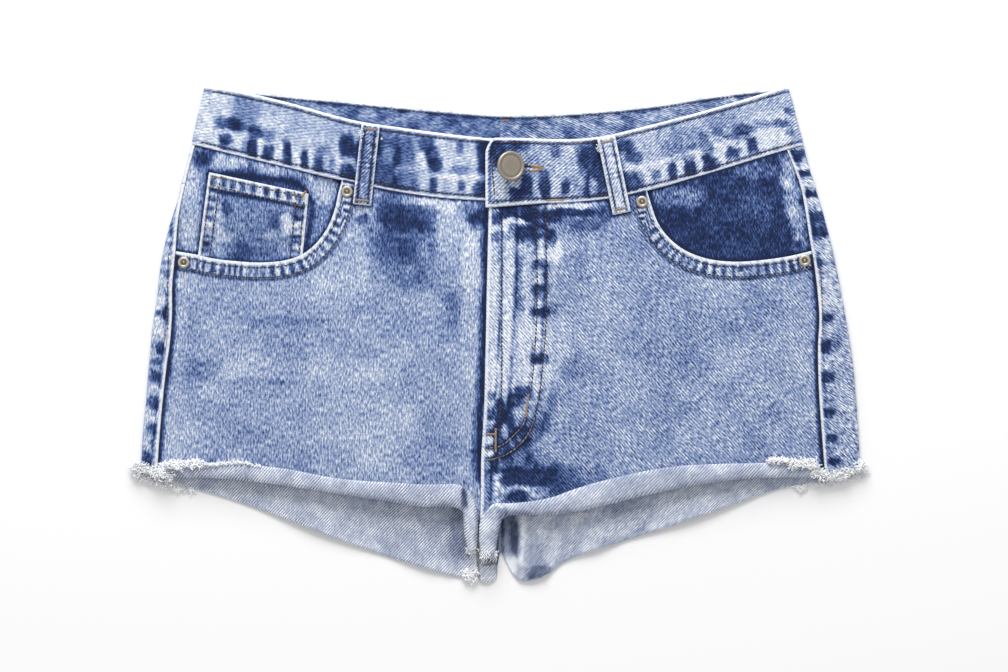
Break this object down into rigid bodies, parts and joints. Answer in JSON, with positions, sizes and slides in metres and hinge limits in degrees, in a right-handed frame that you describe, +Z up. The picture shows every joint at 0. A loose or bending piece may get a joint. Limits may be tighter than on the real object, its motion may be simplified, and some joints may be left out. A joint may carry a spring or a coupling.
{
  "type": "denim shorts",
  "caption": "Cut-off shorts in acid-washed light blue denim, buttoned and laid flat on their back, with front hems that curl up to show the pale wrong side and frayed raw edges.",
  "frame": {"origin": "on the table under the middle of the shorts' bounding box", "axes": "+X across the front towards the side whose pocket has no coin pocket, +Y towards the waist, +Z up from the table"},
  "size_m": [0.4813, 0.3218, 0.0217],
  "materials": {
    "denim": "matte",
    "denim_dark": "matte",
    "denim_worn": "matte",
    "denim_fray": "matte",
    "rivet_metal": "satin",
    "button_metal": "satin"
  },
  "bodies": {
    "root": {"back_left": "denim", "back_right": "denim", "yoke_left": "denim", "yoke_right": "denim", "front_left": "denim", "front_right": "denim", "waistband_left": "denim", "waistband_right": "denim", "pocket_facing_left": "denim_dark", "pocket_facing_right": "denim_dark", "coin_pocket": "denim", "belt_loop_left": "denim_worn", "belt_loop_right": "denim_worn", "rivet_left_waist": "rivet_metal", "rivet_left_side": "rivet_metal", "rivet_right_waist": "rivet_metal", "rivet_right_side": "rivet_metal", "button": "button_metal", "fray_left_side": "denim_fray", "fray_left_cuff": "denim_fray", "fray_right_side": "denim_fray", "fray_right_cuff": "denim_fray"}
  },
  "joints": []
}
